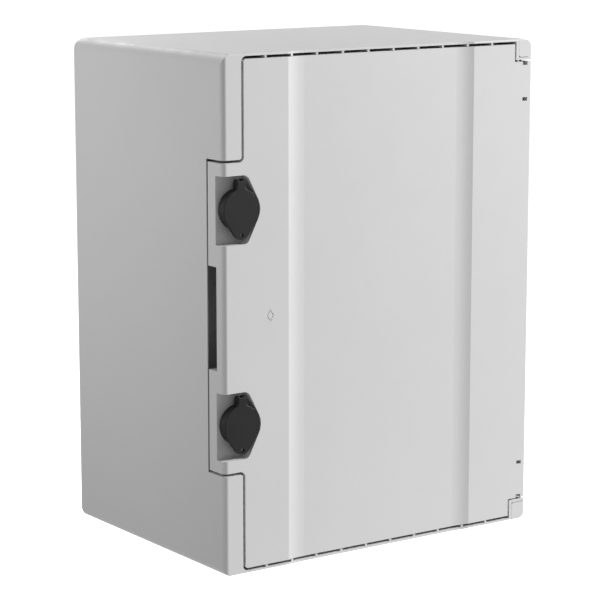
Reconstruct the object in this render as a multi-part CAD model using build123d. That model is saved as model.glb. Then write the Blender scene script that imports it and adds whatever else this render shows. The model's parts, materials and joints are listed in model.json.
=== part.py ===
from build123d import *
import math
import os

# A wall-mounted moulded plastic box that combines the leads of several solar strings.
# Millimetres. +Z is up, the door faces -Y, and the origin is the middle of the back face.

# ------------------------------------------------------------------ enclosure sizes
WIDTH = 300.0
HEIGHT = 400.0
DEPTH = 224.0
WALL = 3.5
TOP_CORNER_R = 9.0        # upper long edges that run from front to back
BOTTOM_CORNER_R = 6.5     # lower ones
FRONT_LEFT_R = 4.0        # upright edge of the front, on the lock side
FRONT_RIGHT_R = 1.2       # upright edge of the front, on the hinge side
FRONT_END_R = 1.2         # top and bottom edges of the front
REAR_R = 7.5
INNER_R = 6.0
INNER_REAR_R = 5.0

HALF_W = WIDTH / 2
HALF_H = HEIGHT / 2
FRONT = -DEPTH
INNER_X = HALF_W - WALL
INNER_Z = HALF_H - WALL

# ------------------------------------------------------------------ door and its gap
SIDE_GAP = 2.1
END_GAP = 2.2
TAB_REAR_GAP = 2.0
NOTCH_GAP = 1.5           # round the two hinge blocks
DOOR_TOP = 195.9
DOOR_LEFT = -130.55
TAB_Z = 118.95            # half height of the tab that wraps the left edge
TAB_DEPTH = 20.0
NOTCH_X = 132.2           # the door is notched round the two hinge blocks
NOTCH_Z = 181.7
DOOR_SKIN = 5.0           # front face to inner face, beside the centre panel
DOOR_SKIRT = 2.5
SKIRT_DEPTH = 14.0
DOOR_RIB_Z = (-96.0, -32.0, 32.0, 96.0)
DOOR_RIB_HALF_X = 104.0
DOOR_RIB_DEPTH = 8.0
DOOR_CORNER_R = 2.2
TAB_ROOT_R = 4.3

MARK_X = -107.0           # a plain engraved lozenge on the door
MARK_HALF = (3.2, 5.0)
MARK_LINE = 0.8
MARK_DEPTH = 0.25

PANEL_HALF = 90.0         # creases of the sunken centre panel
PANEL_FLAT = 74.0         # where its sides run out into the flat
PANEL_SINK = 2.0

# ------------------------------------------------------------------ front frame of the body
LIP = 3.0
LEDGE_FRONT = 20.0
LEDGE = 2.5
SIDE_START = 18.5         # the right wall starts this far back, behind the door's edge
RIM_X = 108.5             # half size of the clear opening
RIM_Z = 181.0
RIM = 2.5
RIM_CORNER_R = 3.0
RIM_FRONT = 9.3
CHANNEL_DEPTH = 45.0      # recess behind the lock tab
TAB_LIP = 0.8             # the left wall thins to this where it meets the tab
TAB_LIP_LENGTH = 4.0
GAP_RIB = 2.0
GAP_RIB_COUNT = 10
GAP_RIB_PITCH = 24.35
GAP_RIB_FIRST_X = -110.5
HINGE_RIB_X = 3.5         # from the notch to the short rib in the hinge block's gap
HINGE_RIB = 1.0

# ------------------------------------------------------------------ hinges
HINGE_X = HALF_W - 8.0
HINGE_DEPTH = 8.0
HINGE_Y = FRONT + HINGE_DEPTH
HINGE_BOSS = 15.5
HINGE_BOSS_Z = 128.0
HINGE_SWEEP_R = 12.1
PIN_R = 3.0
PIN_Z = (148.0, 193.0)
PIN_BORE_Z = (132.0, 194.0)
CAP_X = 136.5
CAP_Z = 185.6
CAP_DEPTH = 13.0
CAP_CORNER_R = 2.0
CAP_SEAM_X = 0.2
CAP_SEAM_Z = 0.45
WINDOW = (5.0, 2.95)
WINDOW_X = 143.2
WINDOW_Z = (151.4, 180.45)

# ------------------------------------------------------------------ locks
LOCK_X = -132.6
LOCK_Z = 83.0
POCKET_DEPTH = 9.7
POCKET_FLOOR = 2.5
POCKET_HALF = 26.2
POCKET_R = 16.6
POCKET_CORNER_R = 6.0
POCKET_CORNER_X = 1.5
POCKET_WALL = 2.5
COVER_R = 16.0
COVER_TIP_R = 8.0
COVER_TIP_Z = -14.5
COVER_FACE = 0.4
COVER_PLATE = 2.2
COVER_SKIRT_R = 15.6
COVER_SKIRT_DEPTH = 8.5
COVER_PIVOT_Z = 20.0
COVER_PIVOT_DEPTH = 3.7
COVER_PIVOT_R = 3.2
NECK_HALF = 3.25
NECK_RISE = 2.0           # the neck ends this far above the pivot
NECK_ROOT_R = 4.0
LUG_HALF = 1.25
LUG_R = 2.2
LUG_GAP = 0.1
COVER_PIN_R = 1.2
BARREL_R = 6.0
HOUSING_R = 9.0
HOUSING_END = 24.0
CAM_DEPTH = (25.0, 28.0)
CAM_LENGTH = 17.0
CAM_HALF = 5.0
CAM_SQUARE = 3.5
CATCH_DEPTH = (21.5, 24.5)
CATCH_X = -122.5
CATCH_HALF = 10.0

FINGER_HALF = 40.0
FINGER_FRONT = 10.3
FINGER_LEAD = 3.9
FINGER_SLOPE = 0.9
FINGER_CORNER_R = 4.5
FINGER_REACH = 14.0       # the hold is this deep, measured from the side

RUN = 0.05                # running clearance on a radius

# ------------------------------------------------------------------ equipment inside
PLATE_HALF_X = 95.0
PLATE_HALF_Z = 165.0
PLATE_BACK = -14.0
PLATE = 2.0
PLATE_FACE = PLATE_BACK - PLATE
BOSS_X = 80.0             # four bosses that carry the plate
BOSS_Z = 150.0
BOSS_R = 7.0
SCREW_R = 2.0
FIX_X = 95.0              # four holes that fix the box to the wall
FIX_Z = 173.0
FIX_R = 3.5
FIX_PAD_R = 9.0
FIX_PAD = 2.5

RAIL_DEPTH = 7.5
RAIL_SHEET = 1.0
RAIL_HALF_Z = 17.5
RAIL_HAT_Z = 12.5
RAIL_HALF_X = 90.0
RAIL_FACE = PLATE_FACE - RAIL_DEPTH
UPPER_RAIL_Z = 80.0
LOWER_RAIL_Z = -50.0
RAIL_SCREW_X = 62.5
SEAT = 0.1                # devices sit this far off the rail

FUSE_WIDTH = 17.5
FUSE_PITCH = 17.7
FUSE_FIRST_X = -69.0
FUSE_COUNT = 4
FUSE_PIVOT = (-17.0, 48.0)   # height from the rail's middle, distance from the rail's face

SPD_PITCH = 17.8
SPD_FIRST_X = -68.0
SPD_COUNT = 3

SWITCH_X = 34.0
SWITCH_HALF = 35.0

TERMINAL_PITCH = 8.2
TERMINAL_FIRST_X = 18.0
TERMINAL_COUNT = 4

EARTH_Z = -146.0
EARTH_HALF = 70.0
EARTH_SCREWS = 8

COMB_BAR = 8.0
COMB_DEPTH = 16.0         # middle of the combs, in front of the rails' face
POSITIVE_COMB = (33.0, 52.0)
NEGATIVE_COMB = (-26.0, -46.0)
POSITIVE_COMB_END = 12.0
NEGATIVE_COMB_END = 58.0

LEAD_R = 2.6
LEAD_GAP = 0.3            # a lead's end stands this far off the comb

# glands: x, y, thread radius
STRING_GLANDS = [(-72.0 + 31.0 * i, -84.0, 10.0) for i in range(4)]
OUTPUT_GLAND = (66.0, -84.0, 16.0)
EARTH_GLAND = (108.0, -84.0, 8.0)
GLANDS = STRING_GLANDS + [OUTPUT_GLAND, EARTH_GLAND]
VENT = (108.0, -50.0)
VENT_R = 6.0


# ------------------------------------------------------------------ helpers
def deep(depth):
    """Y of a plane that lies the given depth behind the front face."""
    return FRONT + depth


def block(x, y, z):
    """A box between low and high values on each axis."""
    middle = Pos((x[0] + x[1]) / 2, (y[0] + y[1]) / 2, (z[0] + z[1]) / 2)
    return middle * Box(x[1] - x[0], y[1] - y[0], z[1] - z[0])


def rod_x(y, z, radius, x0, x1):
    return Pos((x0 + x1) / 2, y, z) * Rot(0, 90, 0) * Cylinder(radius, x1 - x0)


def rod_y(x, z, radius, y0, y1):
    return Pos(x, (y0 + y1) / 2, z) * Rot(90, 0, 0) * Cylinder(radius, y1 - y0)


def rod_z(x, y, radius, z0, z1):
    return Pos(x, y, (z0 + z1) / 2) * Cylinder(radius, z1 - z0)


def hex_z(x, y, across_flats, z0, z1):
    corner_r = across_flats / math.sqrt(3)
    return Pos(x, y, z0) * extrude(RegularPolygon(corner_r, 6), amount=z1 - z0)


def front_prism(sketch, y0, y1):
    """Extrudes a sketch drawn in X and Z from y0 to y1."""
    return extrude(Plane.XZ.offset(-y1) * sketch, amount=y1 - y0)


def side_prism(sketch, x0, x1):
    """Extrudes a sketch drawn in Y and Z from x0 to x1."""
    return extrude(Plane.YZ.offset(x0) * sketch, amount=x1 - x0)


def round_corners(sketch, radius, chosen):
    return fillet(sketch.vertices().filter_by(chosen), radius)


def save(shape, name):
    export_step(shape, f"parts/{name}.step")


def group(solids):
    """Several separate solids in one node."""
    return Compound(children=[s for shape in solids for s in shape.solids()])


# ------------------------------------------------------------------ outer form
def outer_form():
    """The whole closed box as one solid, with its rounded edges."""
    face = Rectangle(WIDTH, HEIGHT)
    face = round_corners(face, TOP_CORNER_R, lambda v: v.Y > 0)
    face = round_corners(face, BOTTOM_CORNER_R, lambda v: v.Y < 0)
    form = front_prism(face, FRONT, 0)
    form = fillet(form.edges().group_by(Axis.Y)[-1], REAR_R)
    plan = Rectangle(WIDTH, DEPTH)
    for side, radius in ((-1, FRONT_LEFT_R), (1, FRONT_RIGHT_R)):
        plan = round_corners(plan, radius, lambda v: v.Y < 0 and side * v.X > 0)
    above = Pos(0, FRONT / 2, -HALF_H) * extrude(plan, amount=HEIGHT)
    profile = Rectangle(DEPTH, HEIGHT)
    profile = round_corners(profile, FRONT_END_R, lambda v: v.X < 0)
    beside = side_prism(Pos(FRONT / 2, 0) * profile, -HALF_W, HALF_W)
    return form & above & beside


def inner_form():
    """The space inside the walls, behind the ledge."""
    face = RectangleRounded(2 * INNER_X, 2 * INNER_Z, INNER_R)
    form = front_prism(face, deep(LEDGE_FRONT + LEDGE), -WALL)
    return fillet(form.edges().group_by(Axis.Y)[-1], INNER_REAR_R)


def centre_panel_cut():
    """The shallow sunken panel down the middle of the front, between two sharp creases."""
    run = PANEL_HALF - PANEL_FLAT
    radius = (run**2 + PANEL_SINK**2) / (2 * PANEL_SINK)
    half_angle = math.atan2(PANEL_SINK, run)
    middle = (PANEL_HALF - run / 2, PANEL_SINK / 2)
    sag = radius * (1 - math.cos(half_angle))
    on_arc = (middle[0] - sag * math.sin(half_angle), middle[1] + sag * math.cos(half_angle))

    def at(x, depth):
        return (x, deep(depth))

    right = ThreePointArc(
        at(PANEL_HALF, 0), at(*on_arc), at(PANEL_FLAT, PANEL_SINK)
    )
    left = ThreePointArc(
        at(-PANEL_FLAT, PANEL_SINK), at(-on_arc[0], on_arc[1]), at(-PANEL_HALF, 0)
    )
    outline = [
        right,
        Line(at(PANEL_FLAT, PANEL_SINK), at(-PANEL_FLAT, PANEL_SINK)),
        left,
        Line(at(-PANEL_HALF, 0), at(-PANEL_HALF, -1)),
        Line(at(-PANEL_HALF, -1), at(PANEL_HALF, -1)),
        Line(at(PANEL_HALF, -1), at(PANEL_HALF, 0)),
    ]
    return Pos(0, 0, -HALF_H) * extrude(make_face(outline), amount=HEIGHT)


def door_outline(side, end, notch, overrun):
    """The door from the front, grown by side, end and notch; overrun takes it past the box."""
    left = DOOR_LEFT - side
    top = DOOR_TOP + end
    tab = TAB_Z + side
    notch_x = NOTCH_X + notch
    notch_z = NOTCH_Z + notch
    edge = HALF_W + overrun
    points = [
        (left, top),
        (notch_x, top),
        (notch_x, notch_z),
        (edge, notch_z),
        (edge, -notch_z),
        (notch_x, -notch_z),
        (notch_x, -top),
        (left, -top),
        (left, -tab),
        (-edge, -tab),
        (-edge, tab),
        (left, tab),
    ]
    sketch = make_face(Polyline(points, close=True))
    sketch = round_corners(
        sketch, DOOR_CORNER_R + side, lambda v: abs(v.X - left) < 0.01 and abs(v.Y) > tab + 1
    )
    return round_corners(
        sketch, TAB_ROOT_R - side, lambda v: abs(v.X - left) < 0.01 and abs(v.Y) < tab + 1
    )


# ------------------------------------------------------------------ body
def hinge_block_keep(sign):
    z = sorted((sign * (NOTCH_Z + NOTCH_GAP), sign * (HALF_H + 1)))
    return block((NOTCH_X + NOTCH_GAP, HALF_W + 1), (deep(-2), deep(LEDGE_FRONT + 1)), z)


def front_recess():
    """The hollow in front of the ledge, into which the door closes."""
    mouth = front_prism(door_outline(SIDE_GAP, END_GAP, NOTCH_GAP, 1), deep(-1), deep(LIP))
    inner_top = DOOR_TOP + END_GAP
    hollow = block((-INNER_X, INNER_X), (deep(LIP), deep(LEDGE_FRONT)), (-inner_top, inner_top))
    right = block(
        (INNER_X - 1, HALF_W + 1),
        (deep(LIP - 0.5), deep(SIDE_START)),
        (-NOTCH_Z - NOTCH_GAP, NOTCH_Z + NOTCH_GAP),
    )
    hollow = hollow + right
    return mouth + (hollow - hinge_block_keep(1) - hinge_block_keep(-1))


def channel(grow):
    """The stepped recess behind the lock tab, or with grow the block that carries its walls."""
    half_z = TAB_Z + SIDE_GAP + grow
    back = deep(CHANNEL_DEPTH + grow)
    return block((-INNER_X, -RIM_X - RIM + grow), (deep(RIM_FRONT), back), (-half_z, half_z))


def skirt_clearance():
    """Room for the door's left skirt in front of the channel's end walls."""
    half_z = TAB_Z + SIDE_GAP + RIM + 0.1
    left = DOOR_LEFT - SIDE_GAP
    return block((left, -RIM_X - RIM), (deep(LIP), deep(SKIRT_DEPTH + 0.8)), (-half_z, half_z))


def ring(half_x, half_z, thickness, y0, y1, corner_r):
    outer = RectangleRounded(2 * half_x, 2 * half_z, corner_r)
    inner = RectangleRounded(
        2 * (half_x - thickness), 2 * (half_z - thickness), max(corner_r - thickness, 0.5)
    )
    return front_prism(outer - inner, y0, y1)


def gap_ribs():
    """Short ribs that bridge the gap above and below the door."""
    ribs = []
    for i in range(GAP_RIB_COUNT):
        x = GAP_RIB_FIRST_X + i * GAP_RIB_PITCH
        for sign in (1, -1):
            z = sorted((sign * (DOOR_TOP + 0.3), sign * (HALF_H - 1)))
            sink = 0.4 + (PANEL_SINK if abs(x) < PANEL_FLAT else 0)
            ribs.append(
                block((x - GAP_RIB / 2, x + GAP_RIB / 2), (deep(sink), deep(LEDGE_FRONT + 1)), z)
            )
    rib_x = NOTCH_X + HINGE_RIB_X
    z = (NOTCH_Z + 0.3, NOTCH_Z + NOTCH_GAP + 1)
    ribs.append(block((rib_x, rib_x + HINGE_RIB), (deep(0.4), deep(HINGE_DEPTH - PIN_R - 1)), z))
    return ribs


def lock_catches():
    catches = []
    for z in (LOCK_Z, -LOCK_Z):
        tongue = block(
            (CATCH_X, -RIM_X - RIM + 1),
            (deep(CATCH_DEPTH[0]), deep(CATCH_DEPTH[1])),
            (z - CATCH_HALF, z + CATCH_HALF),
        )
        catches.append(tongue)
    return catches


def hinge_cap_space(sign, seam_x, seam_z):
    z = sorted((sign * (CAP_Z - seam_z), sign * (HALF_H + 1)))
    return block((CAP_X - seam_x, HALF_W + 1), (deep(-1), deep(CAP_DEPTH + seam_x)), z)


def enclosure_body():
    form = outer_form()
    body = form - inner_form() - front_recess()
    opening = RectangleRounded(2 * RIM_X, 2 * RIM_Z, RIM_CORNER_R)
    body -= front_prism(opening, deep(LEDGE_FRONT - 1), deep(LEDGE_FRONT + LEDGE + 1))
    rim = ring(
        RIM_X + RIM, RIM_Z + RIM, RIM, deep(RIM_FRONT), deep(LEDGE_FRONT + 1), RIM_CORNER_R + RIM
    )
    body += rim
    body += channel(RIM)
    body -= channel(0)
    body -= skirt_clearance()
    tab_end = TAB_DEPTH + TAB_REAR_GAP
    tab_z = (-TAB_Z - SIDE_GAP, TAB_Z + SIDE_GAP)
    body -= block((-HALF_W - 1, -INNER_X + 1), (deep(LIP - 1), deep(tab_end)), tab_z)
    lip_y = (deep(tab_end - 1), deep(tab_end + TAB_LIP_LENGTH))
    body -= block((-HALF_W + TAB_LIP, -INNER_X + 1), lip_y, tab_z)
    for piece in gap_ribs() + lock_catches():
        body += piece
    for x in (-BOSS_X, BOSS_X):
        for z in (-BOSS_Z, BOSS_Z):
            body += rod_y(x, z, BOSS_R, PLATE_BACK, -WALL + 1)
            body -= rod_y(x, z, SCREW_R + RUN, PLATE_BACK - 1, -WALL - 1)
    for x in (-FIX_X, FIX_X):
        for z in (-FIX_Z, FIX_Z):
            body += rod_y(x, z, FIX_PAD_R, -WALL - FIX_PAD, -WALL + 1)
            body -= rod_y(x, z, FIX_R, -WALL - FIX_PAD - 1, 1)
    for x, y, radius in GLANDS:
        body -= rod_z(x, y, radius + 0.2, -HALF_H - 1, -INNER_Z + 1)
    body -= rod_z(*VENT, VENT_R + 0.2, -HALF_H - 1, -INNER_Z + 1)
    for sign in (1, -1):
        body -= hinge_cap_space(sign, CAP_SEAM_X, CAP_SEAM_Z)
        z = sorted((sign * (NOTCH_Z + 1), sign * CAP_Z))
        body -= rod_z(HINGE_X, HINGE_Y, PIN_R + RUN, *z)
    body -= centre_panel_cut()
    return body


def hinge_caps():
    caps = []
    for sign in (1, -1):
        cap = outer_form() & hinge_cap_space(sign, 0, 0)
        inner = cap.edges().filter_by(Axis.Y).filter_by(
            lambda e: e.center().X < CAP_X + 0.1 and abs(e.center().Z) < CAP_Z + 0.1
        )
        cap = fillet(inner, CAP_CORNER_R)
        z = sorted((sign * (CAP_Z - 1), sign * PIN_BORE_Z[1]))
        cap -= rod_z(HINGE_X, HINGE_Y, PIN_R + RUN, *z)
        caps.append(cap)
    return group(caps)


# ------------------------------------------------------------------ door
def tangent_hull(circles):
    """The outline round circles given as (x, z, radius), in order round the shape."""
    points = []
    for (x0, z0, r0), (x1, z1, r1) in zip(circles, circles[1:] + circles[:1]):
        distance = math.hypot(x1 - x0, z1 - z0)
        along = math.atan2(z1 - z0, x1 - x0)
        normal = along - math.acos((r0 - r1) / distance)
        direction = (math.cos(normal), math.sin(normal))
        points.append((x0 + r0 * direction[0], z0 + r0 * direction[1]))
        points.append((x1 + r1 * direction[0], z1 + r1 * direction[1]))
    shape = make_face(Polyline(points, close=True))
    for x, z, radius in circles:
        shape += Pos(x, z) * Circle(radius)
    return shape


def pocket_outline(z, grow):
    """The lock's pocket, open to the left; grow adds its walls."""
    corner_z = POCKET_HALF - POCKET_CORNER_R
    corner_x = LOCK_X + POCKET_CORNER_X
    right = tangent_hull(
        [
            (corner_x, z - corner_z, POCKET_CORNER_R + grow),
            (LOCK_X, z, POCKET_R + grow),
            (corner_x, z + corner_z, POCKET_CORNER_R + grow),
        ]
    )
    left_x = -HALF_W - 1
    half = POCKET_HALF + grow
    left = Pos((left_x + corner_x) / 2, z) * Rectangle(corner_x - left_x, 2 * half)
    return right + left


def finger_hold():
    """The block behind the tab that the finger notch hollows out."""
    grip_z = (-FINGER_HALF - DOOR_SKIRT, FINGER_HALF + DOOR_SKIRT)
    hold_x = (-HALF_W, -HALF_W + FINGER_REACH + DOOR_SKIRT)
    return block(hold_x, (deep(1), deep(TAB_DEPTH)), grip_z)


def finger_notch():
    """The finger hold in the side of the tab: a hollow, open to the rear, with a sloping lead-in."""
    back = deep(TAB_DEPTH + 1)
    height = (-FINGER_HALF, FINGER_HALF)
    through = block((-HALF_W - 1, -HALF_W + FINGER_REACH), (deep(FINGER_FRONT), back), height)
    slope = make_face(
        Polyline(
            [
                (-HALF_W, deep(FINGER_LEAD)),
                (-HALF_W + FINGER_SLOPE, deep(FINGER_FRONT)),
                (-HALF_W + FINGER_SLOPE, back),
                (-HALF_W - 1, back),
                (-HALF_W - 1, deep(FINGER_LEAD)),
            ],
            close=True,
        )
    )
    lead_in = Pos(0, 0, -FINGER_HALF) * extrude(slope, amount=2 * FINGER_HALF)
    length = back - deep(FINGER_LEAD)
    outline = Rectangle(length, 2 * FINGER_HALF)
    outline = round_corners(outline, FINGER_CORNER_R, lambda v: v.X < 0)
    window = side_prism(Pos(back - length / 2, 0) * outline, -HALF_W - 2, -HALF_W + FINGER_REACH + 1)
    return (through + lead_in) & window


def door_panel():
    outline = door_outline(0, 0, 0, 0)
    door = front_prism(outline, FRONT, deep(SKIRT_DEPTH))
    door += block((-HALF_W, DOOR_LEFT), (deep(1), deep(TAB_DEPTH)), (-TAB_Z, TAB_Z))
    inside = offset(outline, -DOOR_SKIRT, kind=Kind.INTERSECTION)
    door -= front_prism(inside, deep(DOOR_SKIN), deep(TAB_DEPTH + 1))
    for sign in (1, -1):
        z = sorted((sign * HINGE_BOSS_Z, sign * NOTCH_Z))
        door += block((HINGE_X - 8, HALF_W), (deep(1), deep(HINGE_BOSS)), z)
        z = sorted((sign * NOTCH_Z, sign * HALF_H))
        door -= rod_z(HINGE_X, HINGE_Y, HINGE_SWEEP_R, *z)
        z = sorted((sign * PIN_BORE_Z[0], sign * (NOTCH_Z + 1)))
        door -= rod_z(HINGE_X, HINGE_Y, PIN_R + RUN, *z)
        for window_z in WINDOW_Z:
            door -= window_cut(sign * window_z)
    rib_x = (-DOOR_RIB_HALF_X, DOOR_RIB_HALF_X)
    for z in DOOR_RIB_Z:
        door += block(rib_x, (deep(DOOR_SKIN - 0.5), deep(DOOR_RIB_DEPTH)), (z - 1, z + 1))
    door += finger_hold()
    for z in (LOCK_Z, -LOCK_Z):
        wall = front_prism(pocket_outline(z, POCKET_WALL), FRONT, deep(POCKET_DEPTH + POCKET_FLOOR))
        door += wall & block((-HALF_W, 0), (FRONT, deep(TAB_DEPTH)), (-TAB_Z, TAB_Z))
        door -= front_prism(pocket_outline(z, 0), deep(-1), deep(POCKET_DEPTH))
        door -= rod_y(LOCK_X, z, HOUSING_R + RUN, deep(0), deep(TAB_DEPTH))
    door -= finger_notch()
    door -= mark()
    door = door & outer_form()
    return door - centre_panel_cut()


def mark():
    half_x, half_z = MARK_HALF
    corners = [(0, half_z), (half_x, 0), (0, -half_z), (-half_x, 0)]
    lozenge = make_face(Polyline(corners, close=True))
    outline = lozenge - offset(lozenge, -MARK_LINE, kind=Kind.INTERSECTION)
    return front_prism(Pos(MARK_X, 0) * outline, deep(-1), deep(MARK_DEPTH))


def window_cut(z):
    half_x, half_z = WINDOW[0] / 2, WINDOW[1] / 2
    reach = half_z if abs(z) < NOTCH_Z - 5 else NOTCH_Z + 1 - abs(z)
    low, high = (z - half_z, z + reach) if z > 0 else (z - reach, z + half_z)
    return block((WINDOW_X - half_x, WINDOW_X + half_x), (deep(-1), HINGE_Y), (low, high))


def door_gasket():
    return ring(RIM_X + 4.25, RIM_Z + 4.25, 6, deep(DOOR_SKIN), deep(RIM_FRONT - 0.3), 6.5)


def hinge_pin(sign):
    """A steel pin with two grooves that a screwdriver catches through the windows."""
    pin = rod_z(HINGE_X, HINGE_Y, PIN_R, *sorted((sign * PIN_Z[0], sign * PIN_Z[1])))
    end = max(pin.faces().sort_by(Axis.Z), key=lambda f: sign * f.center().Z)
    pin = chamfer(end.edges(), 0.8)
    for z in WINDOW_Z:
        grooved = rod_z(HINGE_X, HINGE_Y, PIN_R + 1, sign * z - 1, sign * z + 1)
        grooved -= rod_z(HINGE_X, HINGE_Y, PIN_R - 1, sign * z - 1, sign * z + 1)
        pin -= grooved
    return pin


# ------------------------------------------------------------------ locks
def cover_outline(z):
    """Disc, tapered tip, and a neck that runs up over the pivot."""
    outline = tangent_hull([(LOCK_X, z, COVER_R), (LOCK_X, z + COVER_TIP_Z, COVER_TIP_R)])
    neck_top = z + COVER_PIVOT_Z + NECK_RISE
    outline += Pos(LOCK_X, (z + neck_top) / 2) * Rectangle(2 * NECK_HALF, neck_top - z)
    return round_corners(
        outline,
        NECK_ROOT_R,
        lambda v: abs(abs(v.X - LOCK_X) - NECK_HALF) < 0.01 and v.Y < neck_top - 1,
    )


def lock_cover(z):
    """The black flap over a lock: plate with its neck, cup, and the two ears of its pivot."""
    pivot_z = z + COVER_PIVOT_Z
    pivot_y = deep(COVER_PIVOT_DEPTH)
    back = COVER_FACE + COVER_PLATE
    plate = front_prism(cover_outline(z), deep(COVER_FACE), deep(back))
    plate = fillet(plate.edges().group_by(Axis.Y)[0], 0.5)
    cup = front_prism(
        Pos(LOCK_X, z) * (Circle(COVER_SKIRT_R) - Circle(COVER_SKIRT_R - 1.8)),
        deep(back - 0.5),
        deep(COVER_SKIRT_DEPTH),
    )
    flap = plate + cup
    slot_half = LUG_HALF + LUG_GAP
    front = deep(COVER_PIVOT_DEPTH - COVER_PIVOT_R)
    rear = deep(COVER_PIVOT_DEPTH + COVER_PIVOT_R)
    for side in (-1, 1):
        x = sorted((LOCK_X + side * slot_half, LOCK_X + side * NECK_HALF))
        flap += rod_x(pivot_y, pivot_z, COVER_PIVOT_R, *x)
        flap += block(x, (front, rear), (z + 14, pivot_z))
    slot_front = deep(COVER_PIVOT_DEPTH - LUG_R - LUG_GAP)
    slot_z = (pivot_z - LUG_R - 0.5, pivot_z + NECK_RISE + 1)
    flap -= block((LOCK_X - slot_half, LOCK_X + slot_half), (slot_front, rear), slot_z)
    flap -= rod_x(pivot_y, pivot_z, COVER_PIN_R + RUN, LOCK_X - 9, LOCK_X + 9)
    flap -= rod_y(LOCK_X, z - 19, 1.7, deep(-1), deep(back + 1))
    return flap


def lock_housing(z):
    """The fixed part of a lock: flange on the pocket floor, threaded tube and pivot lug."""
    pivot_z = z + COVER_PIVOT_Z
    pivot_y = deep(COVER_PIVOT_DEPTH)
    face = POCKET_DEPTH - 1.0
    housing = rod_y(LOCK_X, z, 13.4, deep(face), deep(POCKET_DEPTH))
    housing += rod_y(LOCK_X, z, HOUSING_R, deep(face), deep(HOUSING_END))
    x = (LOCK_X - LUG_HALF, LOCK_X + LUG_HALF)
    housing += block(x, (deep(face), deep(POCKET_DEPTH)), (z, pivot_z))
    housing += block(x, (pivot_y, deep(POCKET_DEPTH)), (pivot_z - LUG_R, pivot_z))
    housing += rod_x(pivot_y, pivot_z, LUG_R, *x)
    housing -= rod_x(pivot_y, pivot_z, COVER_PIN_R, LOCK_X - 9, LOCK_X + 9)
    return housing - rod_y(LOCK_X, z, BARREL_R + RUN, deep(0), deep(HOUSING_END + 1))


def lock_cover_pin(z):
    x = (LOCK_X - NECK_HALF, LOCK_X + NECK_HALF)
    return rod_x(deep(COVER_PIVOT_DEPTH), z + COVER_PIVOT_Z, COVER_PIN_R, *x)


def lock_nut(z):
    corner_r = 22 / math.sqrt(3)
    nut = front_prism(
        Pos(LOCK_X, z) * RegularPolygon(corner_r, 6),
        deep(POCKET_DEPTH + POCKET_FLOOR),
        deep(POCKET_DEPTH + POCKET_FLOOR + 4.5),
    )
    return nut - rod_y(LOCK_X, z, HOUSING_R + RUN, deep(0), deep(HOUSING_END))


def lock_barrel(z):
    """The turning core: a face with a two-bit key recess, and a square end for the cam."""
    barrel = rod_y(LOCK_X, z, BARREL_R, deep(4.5), deep(CAM_DEPTH[0]))
    barrel = fillet(barrel.edges().group_by(Axis.Y)[0], 0.5)
    barrel -= rod_y(LOCK_X, z, 4.2, deep(4), deep(9))
    barrel += rod_y(LOCK_X, z, 1.5, deep(5), deep(9.5))
    for side in (-1, 1):
        x = sorted((LOCK_X + side * 4, LOCK_X + side * 5.4))
        barrel -= block(x, (deep(4), deep(9)), (z - 1, z + 1))
    barrel += square_end(z, CAM_SQUARE, 0)
    return barrel - rod_y(LOCK_X, z, 1.5 + RUN, deep(18), deep(CAM_DEPTH[1] + 1))


def square_end(z, half, overrun):
    """The square on the barrel's end, or with overrun the hole that fits over it."""
    y = (deep(CAM_DEPTH[0] - 1), deep(CAM_DEPTH[1] + overrun))
    return block((LOCK_X - half, LOCK_X + half), y, (z - half, z + half))


def lock_cam(z):
    hub = Pos(LOCK_X, z) * Circle(8)
    arm = Pos(LOCK_X, z + CAM_LENGTH / 2) * Rectangle(2 * CAM_HALF, CAM_LENGTH)
    cam = front_prism(hub + arm, deep(CAM_DEPTH[0]), deep(CAM_DEPTH[1]))
    tip = cam.edges().filter_by(Axis.Y).filter_by(lambda e: e.center().Z > z + CAM_LENGTH - 0.1)
    cam = fillet(tip, 2.5)
    return cam - square_end(z, CAM_SQUARE + 0.1, 1)


def cam_screw(z):
    head = rod_y(LOCK_X, z, 5, deep(CAM_DEPTH[1]), deep(CAM_DEPTH[1] + 2.6))
    slot_y = (deep(CAM_DEPTH[1] + 1.8), deep(CAM_DEPTH[1] + 3))
    head -= block((LOCK_X - 5, LOCK_X + 5), slot_y, (z - 0.6, z + 0.6))
    return head + rod_y(LOCK_X, z, 1.5, deep(19), deep(CAM_DEPTH[1] + 0.5))


# ------------------------------------------------------------------ plate and rails
def mounting_plate():
    plate = front_prism(RectangleRounded(2 * PLATE_HALF_X, 2 * PLATE_HALF_Z, 4), PLATE_FACE, PLATE_BACK)
    holes = [(x, z) for x in (-BOSS_X, BOSS_X) for z in (-BOSS_Z, BOSS_Z)]
    holes += [(x, z) for x in (-RAIL_SCREW_X, RAIL_SCREW_X) for z in (UPPER_RAIL_Z, LOWER_RAIL_Z)]
    holes += [(x, EARTH_Z) for x in (-EARTH_HALF + 6, EARTH_HALF - 6)]
    for x, z in holes:
        plate -= rod_y(x, z, 2 + RUN, PLATE_FACE - 1, PLATE_BACK + 1)
    return plate


def pan_screw(x, z, seat, tip, head_r, head_h):
    """A screw driven along +Y, with its head's underside on the seat and a cross recess."""
    screw = rod_y(x, z, head_r, seat - head_h, seat)
    screw = fillet(screw.edges().group_by(Axis.Y)[0], 0.35 * head_h)
    arm = 0.6 * head_r
    cross_y = (seat - head_h - 1, seat - 0.5 * head_h)
    screw -= block((x - arm, x + arm), cross_y, (z - 0.5, z + 0.5))
    screw -= block((x - 0.5, x + 0.5), cross_y, (z - arm, z + arm))
    return screw + rod_y(x, z, 2.0, seat - 0.1, tip)


def plate_screws():
    return group(
        [
            pan_screw(x, z, PLATE_FACE, -WALL - 2, 4.8, 3.0)
            for x in (-BOSS_X, BOSS_X)
            for z in (-BOSS_Z, BOSS_Z)
        ]
    )


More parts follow.
